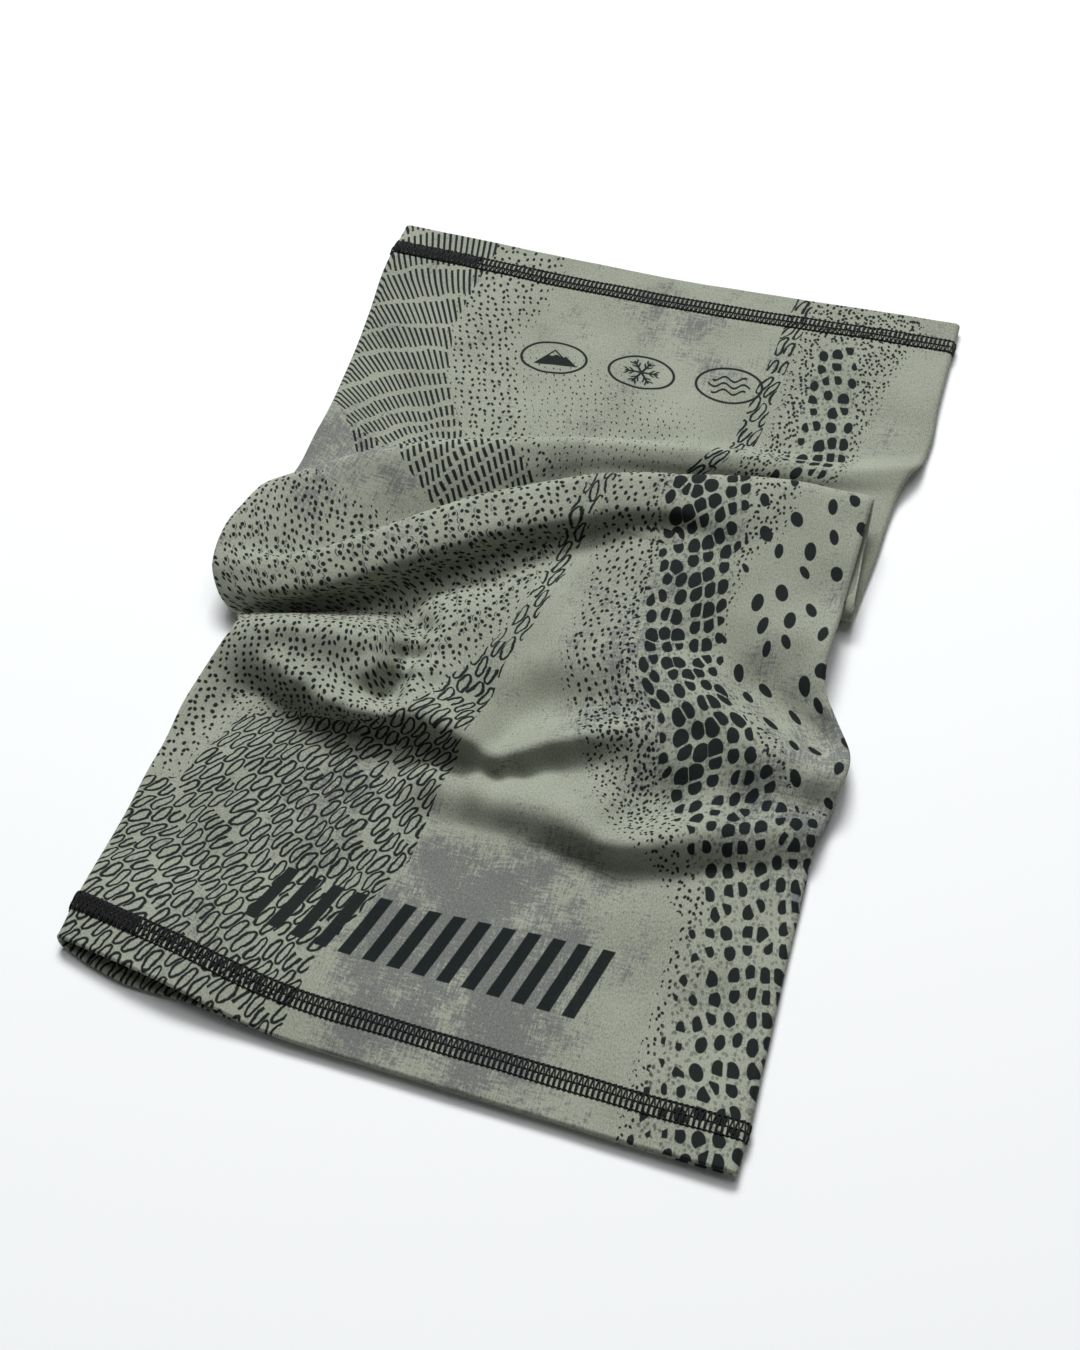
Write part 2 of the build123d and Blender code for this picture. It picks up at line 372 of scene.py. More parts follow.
def front_surface(x):
    """The front layer's middle surface, rows from the far hem's edge to the near one's.

    LINES are run across at the columns x, then joined along the cloth by a centripetal
    cubic in each column; from FIRST_FIELD_LINE on, the height is the thin plate's.
    Heights below LOWEST_FRONT are raised to it, and the folds lean by FOLD_LEAN.
    Returns the grid, and the gap to the back layer and the line number of each row.
    """
    y = np.array([curve_through(COLUMNS, line[0], x) for line in LINES])
    z = np.array([curve_through(COLUMNS, line[1], x) for line in LINES])
    sides = np.array([line[2] for line in LINES], float)
    share = (x / HALF_WIDTH + 1) / 2
    lines = np.stack([sides[:, :1] + (sides[:, 1:] - sides[:, :1]) * share, y, z], axis=2)
    gap = np.array([line[3] for line in LINES])
    chords = np.linalg.norm(np.diff(lines, axis=0), axis=2)
    steps = np.sqrt(chords)[..., None]
    knots = np.concatenate([np.zeros_like(steps[:1]), np.cumsum(steps, axis=0)])
    slopes = knot_slopes(knots, lines)
    rows, number = [], []
    for i, chord in enumerate(chords.mean(axis=1)):
        count = max(2, round(chord / ROW_PITCH))
        t = (np.arange(count) / count)[:, None, None]
        run = steps[i]
        rows.append(hermite(t, lines[i], lines[i + 1], slopes[i] * run, slopes[i + 1] * run))
        number.append(i + t[:, 0, 0])
    rows.append(lines[-1:])
    number.append([len(LINES) - 1])
    grid, number = np.concatenate(rows), np.concatenate(number)
    gaps = np.interp(number, np.arange(len(LINES)), gap)
    field = smooth_step(FIRST_FIELD_LINE - 1.5, FIRST_FIELD_LINE, number)
    field *= 1 - smooth_step(len(LINES) - 4, len(LINES) - 3, number)
    rows = np.flatnonzero(field > 0)
    plate = thin_plate(grid[rows, :, 0], grid[rows, :, 1])
    plate = np.maximum(plate, LOWEST_FRONT)
    grid[rows, :, 2] += (plate - grid[rows, :, 2]) * field[rows, None]
    grid[rows, :, 1] -= FOLD_LEAN * (plate - FOLD_BASE) * field[rows, None]
    grid[..., 2] += undulation(grid[..., 0], grid[..., 1], number)
    return smoothed(grid, FRONT_SMOOTHING), gaps, number


def evened(grid, places):
    """The grid with its rows moved to the given distances along the cloth.

    A distance within HEM_ZONE of an end is true length from that end; between them each
    column's own length is shared out in proportion, so every column counts CUT_LENGTH.
    """
    steps = np.linalg.norm(np.diff(grid, axis=0), axis=2)
    arc = np.concatenate([np.zeros_like(steps[:1]), np.cumsum(steps, axis=0)])
    share = (places - HEM_ZONE) / (CUT_LENGTH - 2 * HEM_ZONE)
    wanted = HEM_ZONE + share[:, None] * (arc[-1] - 2 * HEM_ZONE)
    wanted = np.where(places[:, None] < HEM_ZONE, places[:, None], wanted)
    from_end = arc[-1] - (CUT_LENGTH - places[:, None])
    wanted = np.where(places[:, None] > CUT_LENGTH - HEM_ZONE, from_end, wanted)
    row = np.clip((arc[:, None] < wanted).sum(axis=0) - 1, 0, len(arc) - 2)
    low, high = (np.take_along_axis(arc, row + i, axis=0) for i in (0, 1))
    t = ((wanted - low) / (high - low))[..., None]
    start, end = (np.take_along_axis(grid, (row + i)[..., None], axis=0) for i in (0, 1))
    return start + (end - start) * t


def row_places():
    """Distances from the far edge at which the cloth's rows run, even within the hems."""
    hem = np.linspace(0, HEM_TURN, HEM_ROWS + 1)
    middle = np.linspace(HEM_TURN, CUT_LENGTH - HEM_TURN, MIDDLE_ROWS + 1)[1:-1]
    return np.concatenate([hem, middle, CUT_LENGTH - hem[::-1]])


def tube_surface():
    """The whole tube's middle surface as a grid that is closed round its columns.

    The back is the front moved in by the gap and smoothed; both close in half circles at
    the side folds. Returns the grid, its rows' distances along the cloth and its columns'
    round it.
    """
    x, share = column_places()
    places = row_places()
    front, gaps, number = front_surface(x)
    last = len(LINES) - 1
    near = smooth_step(last - 2, last, number)[:, None]
    opened, lip = (size * np.exp(-(((x - place) / reach) ** 2)) * near
                   for place, reach, size in (MOUTH, MOUTH_LIP))
    inwards = grid_normals(front) * (gaps[:, None] + opened)[..., None]
    back = smoothed(front - inwards, BACK_SMOOTHING)
    back[..., 1] -= lip
    hem = smooth_step(1.6, 1.0, number) + smooth_step(last - 1.6, last - 1, number)
    back[..., 2] = np.maximum(back[..., 2], (LOWEST_BACK + HEM_LIFT * hem)[:, None])
    front[..., 2] = np.maximum(front[..., 2], back[..., 2] + LEAST_GAP)
    middle, half = (front + back) / 2, (front - back) / 2
    half = half * share[:, None]
    front, back = evened(middle + half, places), evened(middle - half, places)
    tube = np.concatenate([front, back[:, -2:0:-1]], axis=1)
    turn = np.concatenate([x, 2 * HALF_WIDTH - x[-2:0:-1]])
    return tube, places, turn


def closed_normals(grid):
    """Normals of the grid that is closed round its columns, pointing out of the tube."""
    wide = np.concatenate([grid[:, -2:], grid, grid[:, :2]], axis=1)
    return grid_normals(wide)[:, 2:-2]


def whole_strip(tube, normal, places):
    """The tube with its two hems turned in: rows of points, normals and distances.

    Past each edge the cloth runs round a half circle of radius HEM_FOLD, then back along
    the tube's inside, 2 * HEM_FOLD in from it, for HEM_TURN.
    """
    parts = [(tube, normal, places)]
    for end in (0, -1):
        rows = np.arange(HEM_ROWS + 1) if end == 0 else np.arange(-1, -HEM_ROWS - 2, -1)
        edge, up = tube[end], normal[end]
        out = edge - tube[rows[1]]
        out -= up * (out * up).sum(axis=1, keepdims=True)
        out /= np.linalg.norm(out, axis=1, keepdims=True)
        turn = np.linspace(0, np.pi, HEM_FOLD_STEPS + 1)[1:-1, None, None]
        fold = edge + HEM_FOLD * (np.sin(turn) * out - (1 - np.cos(turn)) * up)
        fold_up = np.cos(turn) * up + np.sin(turn) * out
        under = tube[rows] - 2 * HEM_FOLD * normal[rows]
        points = np.concatenate([fold, under])
        normals = np.concatenate([fold_up, -normal[rows]])
        run = -HEM_FOLD * turn[:, 0, 0]
        run = np.concatenate([run, -np.pi * HEM_FOLD - places[: HEM_ROWS + 1]])
        if end == 0:
            parts.insert(0, (points[::-1], normals[::-1], run[::-1]))
        else:
            parts.append((points, normals, CUT_LENGTH - run))
    return [np.concatenate(kind) for kind in zip(*parts)]


# ---------------------------------------------------------------- the print's outlines

# Outlines on the flat cloth: millimetres across from the front's middle, and along from
# the far edge. Each area is (strength, softness of its border, outline).
FAN = [
    (1, 1.5, [(-140, -30), (-78, -30), (-82, 20), (-87, 55), (-82, 85), (-70, 108), (-52, 132),
              (-22, 146), (-8, 160), (-34, 186), (-58, 172), (-86, 150), (-104, 149),
              (-118, 132), (-140, 112)]),
]
OVALS = [
    (1, 1.6, [(-140, 404), (-112, 396), (-102, 358), (-80, 350), (-60, 345), (-44, 334),
              (-38, 324), (-29, 304), (-18, 288), (-9, 268), (-5, 246), (-1, 226), (7, 202),
              (26, 150), (44, 104), (45, 90), (47, 62), (52, 30), (56, -30), (63, -30),
              (61, 22), (56, 60), (54, 98), (36, 152), (18, 202), (8, 226), (4, 250), (-1, 276),
              (-9, 294), (-14, 312), (-15, 340), (-17, 400), (-28, 430), (-36, 452),
              (-42, 620), (-140, 620)]),
]
DOTS = [
    (0.85, 5, [(-84, -30), (-48, -30), (-50, 30), (-58, 52), (-50, 78), (-42, 100), (-30, 128),
               (-10, 140), (-8, 160), (-18, 148), (-52, 132), (-70, 108), (-82, 85), (-87, 55)]),
    (0.42, 14, [(-52, 60), (-20, 62), (24, 78), (36, 100), (20, 150), (-6, 166), (-30, 130)]),
    (1, 6, [(-140, 196), (-104, 186), (-66, 188), (-30, 176), (-8, 160), (20, 168), (8, 200),
            (0, 224), (-6, 250), (-14, 276), (-26, 298), (-42, 330), (-62, 344), (-104, 352),
            (-114, 392), (-140, 400)]),
    (0.9, 4, [(18, 196), (30, 172), (52, 160), (46, 200), (42, 240), (46, 300), (56, 330),
              (66, 372), (58, 366), (46, 340), (24, 326), (16, 300), (18, 262), (14, 226)]),
    (0.7, 4, [(66, -30), (106, -30), (112, 16), (98, 34), (96, 66), (98, 104), (62, 140),
              (56, 100), (62, 60)]),
]
FINE = [
    (0.9, 3, [(62, -30), (116, -30), (104, 36), (96, 70), (100, 110), (84, 170), (80, 206),
              (96, 214), (94, 232), (80, 246), (80, 290), (96, 318), (110, 350), (140, 346),
              (140, 620), (82, 620), (84, 400), (70, 384), (52, 352), (40, 318), (36, 262),
              (38, 205), (56, 140), (58, 96)]),
    (0.8, 3, [(40, 300), (22, 318), (30, 340), (48, 366), (66, 380), (60, 350)]),
    (0.7, 3, [(-112, 346), (-60, 338), (-44, 328), (-44, 340), (-62, 350), (-100, 360)]),
]
SPOTS = [
    (0.85, 3, [(70, 22), (86, 20), (90, 50), (94, 84), (96, 110), (84, 160), (60, 160), (72, 110),
               (70, 66)]),
    (1, 3, [(84, 150), (76, 204), (77, 262), (84, 300), (92, 330), (76, 350), (58, 338), (48, 305),
            (42, 262), (41, 212), (58, 150)]),
    (0.82, 3, [(58, 336), (92, 330), (112, 352), (140, 348), (140, 620), (100, 620), (97, 430),
               (94, 396), (80, 376)]),
    (0.55, 3, [(97, 396), (88, 398), (86, 620), (106, 620), (100, 430)]),
]
DROPS = [
    (1, 5, [(80, 196), (100, 196), (140, 214), (140, 344), (108, 350), (92, 322), (80, 290)]),
]
TICKS = [
    (1, 8, [(-130, 222), (-80, 226), (-20, 200), (-2, 224), (-10, 262), (-40, 300), (-118, 300)]),
]
STAINS = [
    (0.9, 22, [(-8, 14), (22, 10), (26, 46), (4, 52)]),
    (0.7, 20, [(-140, 118), (-96, 130), (-56, 168), (-78, 196), (-140, 196)]),
    (1, 20, [(-12, 384), (44, 380), (62, 420), (52, 480), (-20, 486), (-34, 440)]),
    (0.6, 24, [(-70, 372), (-34, 362), (-26, 410), (-60, 424), (-78, 400)]),
    (0.6, 24, [(14, 250), (60, 240), (64, 330), (26, 330)]),
    (0.6, 20, [(84, 300), (140, 300), (140, 384), (92, 370)]),
]
PRINT = {"fan": FAN, "ovals": OVALS, "dots": DOTS, "fine": FINE, "spots": SPOTS,
         "drops": DROPS, "ticks": TICKS, "stains": STAINS}
BACK_SHIFT = 70  # how far along the back's print is from the front's mirrored one
BACK_BLEND = 60  # the width beyond each side fold in which it moves there


def within(outline, across, along, soft):
    """1 inside the outline and 0 outside, crossing over soft millimetres each way."""
    corners = np.array(outline, float)
    nearest = np.full(across.shape, np.inf)
    inside = np.zeros(across.shape, bool)
    for start, end in zip(corners, np.roll(corners, -1, axis=0)):
        edge = end - start
        dx, dy = across - start[0], along - start[1]
        share = np.clip((dx * edge[0] + dy * edge[1]) / (edge @ edge), 0, 1)
        nearest = np.minimum(nearest, np.hypot(dx - share * edge[0], dy - share * edge[1]))
        if edge[1]:
            spans = (start[1] > along) != (end[1] > along)
            inside ^= spans & (dx < dy * edge[0] / edge[1])
    return smooth_step(-soft, soft, np.where(inside, nearest, -nearest))


def print_strengths(turn, run):
    """How strong each kind of mark is at every point of the strip, by its name.

    The back takes the front's outlines mirrored about the plain side fold and moved
    along by BACK_SHIFT as they go round.
    """
    turn, run = np.meshgrid(turn, run)
    past = smooth_step(HALF_WIDTH, HALF_WIDTH + BACK_BLEND, turn)
    past *= smooth_step(3 * HALF_WIDTH, 3 * HALF_WIDTH - BACK_BLEND, turn)
    across = np.where(turn > HALF_WIDTH, 2 * HALF_WIDTH - turn, turn)
    along = run + past * BACK_SHIFT
    return {
        name: np.max([s * within(line, across, along, soft) for s, soft, line in areas], axis=0)
        for name, areas in PRINT.items()
    }


# ---------------------------------------------------------------- node building

SHIFT_RATIO = 1.7  # how much further a pattern of cells is shifted along than across
OVAL_LEAST, OVAL_SPREAD = 0.78, 0.4  # an oval's least size, and how much it varies by


class Wire:
    """A socket that carries a number; arithmetic on it adds Math nodes to its tree."""

    def __init__(self, socket):
        self.socket = socket
        self.tree = socket.id_data

    def math(self, operation, *others, clamp=False):
        node = self.tree.nodes.new("ShaderNodeMath")
        node.operation, node.use_clamp = operation, clamp
        for place, value in zip(node.inputs, (self, *others)):
            plug(place, value)
        return Wire(node.outputs[0])

    def __add__(self, other):
        return self.math("ADD", other)

    def __sub__(self, other):
        return self.math("SUBTRACT", other)

    def __mul__(self, other):
        return self.math("MULTIPLY", other)

    def __truediv__(self, other):
        return self.math("DIVIDE", other)

    def __rsub__(self, other):
        return self * -1 + other

    __radd__, __rmul__ = __add__, __mul__

    def clamped(self):
        return self.math("MULTIPLY", 1, clamp=True)

    def least(self, other):
        return self.math("MINIMUM", other)

    def most(self, other):
        return self.math("MAXIMUM", other)

    def absolute(self):
        return self.math("ABSOLUTE")


def plug(place, value):
    """Gives an input socket its value: a Wire, another socket, or a constant."""
    if isinstance(value, Wire):
        place.id_data.links.new(value.socket, place)
    elif hasattr(value, "is_output"):
        place.id_data.links.new(value, place)
    else:
        place.default_value = value


def vector(tree, x, y, z=0.0):
    node = tree.nodes.new("ShaderNodeCombineXYZ")
    for place, value in zip(node.inputs, (x, y, z)):
        plug(place, value)
    return node.outputs[0]


def parts_of(tree, socket):
    node = tree.nodes.new("ShaderNodeSeparateXYZ")
    plug(node.inputs[0], socket)
    return [Wire(out) for out in node.outputs]


def turned(x, y, degrees):
    """The point's coordinates along axes turned by the angle, a number or a Wire."""
    if isinstance(degrees, Wire):
        angle = degrees * float(np.pi / 180)
        c, s = angle.math("COSINE"), angle.math("SINE")
    else:
        c, s = float(np.cos(np.radians(degrees))), float(np.sin(np.radians(degrees)))
    return x * c + y * s, y * c - x * s


def noise(tree, x, y, scale, detail=2.0, roughness=0.5):
    """Soft noise from 0 to 1; scale is in waves a millimetre."""
    node = tree.nodes.new("ShaderNodeTexNoise")
    node.noise_dimensions = "2D"
    plug(node.inputs["Vector"], vector(tree, x, y))
    for name, value in (("Scale", scale), ("Detail", detail), ("Roughness", roughness)):
        node.inputs[name].default_value = value
    return Wire(node.outputs["Fac"])


def voronoi(tree, x, y, scatter, feature="F1"):
    """Cells of side 1 whose centres are scattered by the share given."""
    node = tree.nodes.new("ShaderNodeTexVoronoi")
    node.voronoi_dimensions, node.feature = "2D", feature
    plug(node.inputs["Vector"], vector(tree, x, y))
    node.inputs["Scale"].default_value = 1.0
    node.inputs["Randomness"].default_value = scatter
    return node


def three_numbers(tree, colour):
    """A colour's red, green and blue as three separate numbers."""
    node = tree.nodes.new("ShaderNodeSeparateColor")
    plug(node.inputs[0], colour)
    return [Wire(out) for out in node.outputs]


def chances(tree, first, second):
    """Three random numbers that belong to a pair of whole numbers."""
    white = tree.nodes.new("ShaderNodeTexWhiteNoise")
    white.noise_dimensions = "2D"
    plug(white.inputs["Vector"], vector(tree, first, second))
    return three_numbers(tree, white.outputs["Color"])


def cells(tree, x, y, cell, scatter, shift):
    """The nearest of many scattered centres: the offset to it, and three random numbers.

    The last two values returned are the place in cells, for voronoi on the same centres.
    """
    across, along = x / cell[0] + shift, y / cell[1] + shift * SHIFT_RATIO
    node = voronoi(tree, across, along, scatter)
    centre_x, centre_y, _ = parts_of(tree, node.outputs["Position"])
    random = three_numbers(tree, node.outputs["Color"])
    return (across - centre_x) * cell[0], (along - centre_y) * cell[1], random, across, along


def ellipse(x, y, half_width, half_height):
    """The distance outwards from an ellipse, near enough: negative inside it."""
    fx, fy = x / half_width, y / half_height
    level = (fx * fx + fy * fy).math("SQRT")
    gx, gy = fx / half_width, fy / half_height
    slope = (gx * gx + gy * gy).math("SQRT").most(1e-4)
    return (level - 1) * level / slope


def inked(distance, soft=0.3):
    """1 where the distance to the mark is negative, 0 outside, with a soft edge."""
    return (0.5 - distance / soft).clamped()


def oval_marks(tree, x, y, strength, cell, size, scatter, lean, swing, shift, apart=0):
    """Filled ovals: one in each cell, leaning by lean give or take swing degrees.

    apart is the least distance of an oval's edge from the border of its cell.
    """
    dx, dy, (a, b, _), across, along = cells(tree, *turned(x, y, lean), cell, scatter, shift)
    dx, dy = turned(dx, dy, (a - 0.5) * (2 * swing))
    grow = strength * (OVAL_LEAST + b * OVAL_SPREAD)
    edge = ellipse(dx, dy, *size)
    if apart:
        border = voronoi(tree, across, along, scatter, "DISTANCE_TO_EDGE")
        edge = edge.most(apart - Wire(border.outputs["Distance"]) * cell[0])
    return inked(edge + (1 - grow) * size[0] + (strength * -9 + 0.9).most(0))


def group(name, inputs, outputs):
    """A shader node group with the named number inputs and outputs."""
    tree = bpy.data.node_groups.new(name, "ShaderNodeTree")
    for way, labels in (("INPUT", inputs), ("OUTPUT", outputs)):
        for text in labels:
            tree.interface.new_socket(text, in_out=way, socket_type="NodeSocketFloat")
    start, end = tree.nodes.new("NodeGroupInput"), tree.nodes.new("NodeGroupOutput")
    return tree, {text: Wire(start.outputs[text]) for text in inputs}, end


# ---------------------------------------------------------------- the print

FAN_CENTRE = (-50, 160)
FAN_FIRST_ROW = 56  # how far out the first row of dashes starts
FAN_ROW_RATIO = 1.15  # each row of dashes is this much further out than the last
FAN_WOBBLE = 6  # of the rows
FAN_DASH_PITCH = 2.5
FAN_ROW_GAP = 2.6
FAN_END = 137  # where the dashes round the centre give way to the slanted ones
FAN_SLANT = -34
FAN_SLANT_CELL = (2.75, 7.8)  # room for each slanted dash across and along
FAN_SLANT_DASH = (0.66, 3.0)  # half its width and length
FAN_SLANT_STEP = 0.19  # how far each column of them is along from the last, in cells
RING_CELL = (4.2, 11.9)  # room for each ring across and along
RING_SIZE = (1.3, 4.9)  # half the smallest ring's width and length
RING_LINE = 0.45  # half the thinnest outline
RING_LEAN = 30  # of the columns of rings
RING_OPEN = 0.82  # the chance above which a ring is left open
# Filled ovals: room for one across and along, half its width and height, how scattered
# they are, their lean and its swing, the pattern's shift, and how far they stay apart
OVAL_MARKS = {
    "Dots": ((3.3, 3.7), (0.74, 1.1), 0.6, -16, 30, 1.1),
    "Fine": ((2.5, 2.9), (0.62, 0.85), 0.9, -10, 60, 7.9),
    "Spots": ((6.1, 7.8), (2.65, 3.55), 0.5, -16, 22, 4.2, 0.4),
    "Drops": ((12, 13.5), (2.1, 3.5), 0.42, -24, 22, 9.4),
}
KNIT_WALE, KNIT_COURSE = 0.62, 0.55  # width and height of a knitted loop
TICK_SIZE, TICK_LINE = (1.5, 1.9), 0.2  # half an arc's width and height, half its line
EMBLEMS = ((-40, 60), (-1.5, 58), (36.5, 54.5))
EMBLEM_SIZE = (14.2, 9.6)
BAR_ROW = (0, 432)  # the middle of the row of slanted bars
BAR_ROW_SIZE = (62, 13.5)  # half its width and height
BAR_PITCH, BAR_WIDTH, BAR_SLANT = 9.2, 4.9, 0.28


def fan_dashes(tree, x, y, strength):
    """Short dashes: pointing at FAN_CENTRE in rows round it, then side by side.

    Beyond FAN_END along the cloth they lean one way, in rows that run off at a slant.
    """
    dx, dy = x - FAN_CENTRE[0], y - FAN_CENTRE[1]
    radius = (dx * dx + dy * dy).math("SQRT").most(1)
    radius = radius + (noise(tree, x, y, 0.05, 1) - 0.5) * FAN_WOBBLE
    place = (radius / FAN_FIRST_ROW).math("LOGARITHM", FAN_ROW_RATIO)
    row = place.math("FLOOR")
    grow = float(np.log(FAN_ROW_RATIO))
    size = ((row + 0.5) * grow).math("EXPONENT") * FAN_FIRST_ROW
    count = dy.math("ARCTAN2", dx) * size / FAN_DASH_PITCH + row * 0.37
    dash = count.math("FLOOR")
    chance = chances(tree, dash, row)[0]
    sideways = ((count - dash) - 0.5).absolute() * FAN_DASH_PITCH
    height = size * grow
    lengthways = ((place - row) - 0.5 + (chance - 0.5) * 0.07).absolute() * height
    spread = (sideways - (chance * 0.12 + 0.5)).most(lengthways - (height * 0.5 - FAN_ROW_GAP / 2))

    across, along = turned(x, y, FAN_SLANT)
    across = across / FAN_SLANT_CELL[0]
    column = across.math("FLOOR")
    along = along / FAN_SLANT_CELL[1] + column * FAN_SLANT_STEP
    step = along.math("FLOOR")
    chance = chances(tree, column, step)[1]
    sideways = ((across - column) - 0.5).absolute() * FAN_SLANT_CELL[0]
    lengthways = ((along - step) - 0.5 + (chance - 0.5) * 0.1).absolute()
    lengthways = lengthways * FAN_SLANT_CELL[1] - FAN_SLANT_DASH[1]
    slanted = (sideways - FAN_SLANT_DASH[0]).most(lengthways)
    past = (y - FAN_END) * 0.6
    edge = spread.most(past).least(slanted.most(past * -1))
    return inked(edge + (strength * -6 + 3).most(0))


def rings(tree, x, y, strength):
    """Hand-drawn outlined ovals in leaning columns, each column at its own phase.

    They lean more towards the left of the cloth, and a few are left open at one end.
    """
    lean = (x * -0.25 + 6).most(6).least(38)
    wander = (noise(tree, x, y, 0.06, 1) - 0.5) * 5
    x = x + wander + (noise(tree, x, y, 0.4, 1) - 0.5) * 0.7
    y = y + (noise(tree, y, x, 0.3, 1) - 0.5) * 1.2
    across, along = turned(x, y, RING_LEAN)
    across = across / RING_CELL[0]
    column = across.math("FLOOR")
    along = along / RING_CELL[1] + chances(tree, column, 7)[0]
    row = along.math("FLOOR")
    a, b, c = chances(tree, column, row)
    dx = (across - column - 0.5) * RING_CELL[0] + (b - 0.5) * 0.5
    dy = (along - row - 0.5) * RING_CELL[1] + (c - 0.5) * 0.5
    dx, dy = turned(dx, dy, (a - 0.5) * 10 + (lean - RING_LEAN) * 0.45)
    outline = ellipse(dx, dy, RING_SIZE[0] + b * 0.3, RING_SIZE[1] + c * 0.6).absolute()
    edge = outline - (RING_LINE + a * 0.15)
    at_one_end = ((dy * (b - 0.5).math("SIGN") - 2.4) * 3).clamped()
    gap = ((a - RING_OPEN) * 40).clamped() * at_one_end
    return inked(edge + gap * 2 + (strength * -8 + 4).most(0))


def emblem(x, y, number):
    """An elliptical ring round a plain picture: a peak, a snow star, or waves."""
    dx, dy = turned(x - EMBLEMS[number][0], y - EMBLEMS[number][1], -6)
    ring = ellipse(dx, dy, *EMBLEM_SIZE).absolute() - 0.6
    if number == 0:
        # two triangles, cut off level at their foot, less a cap down to a wavy snow line
        tall = dx.absolute() * 1.15 - (dy + 5.4)
        small = (dx - 5).absolute() * 1.1 - (dy + 1.6)
        picture = tall.least(small).most(dy - 4.6)
        snow_line = dy + 1.6 + (dx * 1.6).math("SINE") * 0.5
        cap = (dx.absolute() * 1.15 - (dy + 4.2)).most(snow_line)
        picture = picture.most(-1 * cap)
    elif number == 1:
        # six spokes, each with two pairs of tips
        far = (dx * dx + dy * dy).math("SQRT")
        angle = dy.math("ARCTAN2", dx) * float(3 / np.pi)
        spoke = (angle - angle.math("ROUND")).absolute() * float(np.pi / 3)
        along, off = far * spoke.math("COSINE"), far * spoke.math("SINE")
        picture = (off - 0.55).most(along - 7.2)
        for place in (3.2, 5.3):
            tip = (off - (along - place) * 0.9).absolute() - 0.55
            picture = picture.least(tip.most(off - 2.0).most(place - along - 0.4))
    else:
        picture = None
        for height in (-3.6, 0, 3.6):
            wave = (dy - height - (dx * 0.75).math("SINE") * 1.25).absolute() - 0.62
            wave = wave.most(dx.absolute() - (9.2 - abs(height) * 0.5))
            picture = wave if picture is None else picture.least(wave)
    return inked(ring.least(picture), 0.35)


def slanted_bars(x, y):
    """A row of plain bars, all leaning the same way."""
    dx, dy = x - BAR_ROW[0], y - BAR_ROW[1]
    lean = dx + dy * BAR_SLANT
    place = (lean / BAR_PITCH).math("FRACT") - 0.5
    bar = place.absolute() * BAR_PITCH - BAR_WIDTH / 2
    ends = (lean.absolute() - BAR_ROW_SIZE[0]).most(dy.absolute() - BAR_ROW_SIZE[1])
    return inked(bar.most(ends), 0.35)


def build_print():
    """Where there is ink and how strong the stain is, for a place on the flat cloth."""
    names = ["Across", "Along", *[n.capitalize() for n in PRINT]]
    tree, given, end = group("gaiter print", names, ["Ink", "Stain"])
    x, y = given["Across"], given["Along"]
    small, fine, spots, drops = (oval_marks(tree, x, y, given[kind], *sizes)
                                 for kind, sizes in OVAL_MARKS.items())
    # the large spots push the smaller dots aside
    fine = fine * (1 - (given["Spots"] * 3 - 0.9).clamped() * 0.55)
    small = small * (1 - (given["Spots"] * 4 - 1).clamped())
    # ticks are arcs open at one side, round the centres of some of the dots
    dot = OVAL_MARKS["Dots"]
    dx, dy, (a, b, _), *_ = cells(tree, *turned(x, y, dot[3]), dot[0], dot[2], dot[5])
    arc = ellipse(dx + 0.1, dy + 0.2, *TICK_SIZE).absolute() - TICK_LINE
    arc = arc.most((dx * (a - 0.5).math("SIGN")) * -1 + 0.7)
    ticks = inked(arc) * ((given["Ticks"] * 4 - 1.5).clamped()) * ((b - 0.45) * 9).clamped()
    ink = small
    for more in (fine, spots, drops, ticks, fan_dashes(tree, x, y, given["Fan"]),
                 rings(tree, x, y, given["Ovals"]), slanted_bars(x, y),
                 *[emblem(x, y, number) for number in range(len(EMBLEMS))]):
        ink = ink.most(more)
    # stains: broad patches, broken up by fine streaks along the cloth and across it
    patch = noise(tree, x, y * 0.8, 0.045, 3, 0.6)
    streak = noise(tree, x * 0.35, y * 1.9, 0.5, 3, 0.7)
    streak = streak + noise(tree, x * 1.9, y * 0.3, 0.5, 3, 0.7)
    rough = (patch - 0.5) * 3.6 + (streak - 1.0) * 3.4 + given["Stains"] * 1.7 - 0.6
    plug(end.inputs["Ink"], ink)
    plug(end.inputs["Stain"], rough.clamped())
    return tree


def build_knit():
    """Brushed jersey: columns of loops with nap over them; a height and two tones.

    The height is a cosine across, one a loop high along that the first one bends, and
    noise for the nap.
    """
    tree, given, end = group("brushed knit", ["Across", "Along"], ["Height", "Heather", "Cloud"])
    x, y = given["Across"], given["Along"]
    wale = (x * float(2 * np.pi / KNIT_WALE)).math("COSINE")
    course = (y * float(2 * np.pi / KNIT_COURSE) + wale * 1.2).math("COSINE")
    nap = noise(tree, x, y * 0.6, 2.2, 3, 0.7)
    plug(end.inputs["Height"], wale * 0.22 + course * 0.16 + nap * 1.5)
    plug(end.inputs["Heather"], noise(tree, x * 1.5, y * 0.8, 1.25, 2, 0.75))
    plug(end.inputs["Cloud"], noise(tree, x, y, 0.03, 3, 0.55))
    return tree


# ---------------------------------------------------------------- the materials

GROUND = (0.37, 0.39, 0.315, 1)
GROUND_DARK = (0.2, 0.214, 0.168, 1)
STAIN = (0.125, 0.125, 0.132, 1)
INK = (0.004, 0.0075, 0.0085, 1)
INK_LIGHT = (0.009, 0.015, 0.017, 1)
REVERSE = (0.23, 0.245, 0.19, 1)
REVERSE_DARK = (0.15, 0.16, 0.12, 1)
THREAD = (0.003, 0.003, 0.004, 1)
THREAD_LIGHT = (0.012, 0.012, 0.014, 1)
THREAD_PLY = 0.9  # length of thread in which its plies turn once
HEATHER_CONTRAST = 2.4


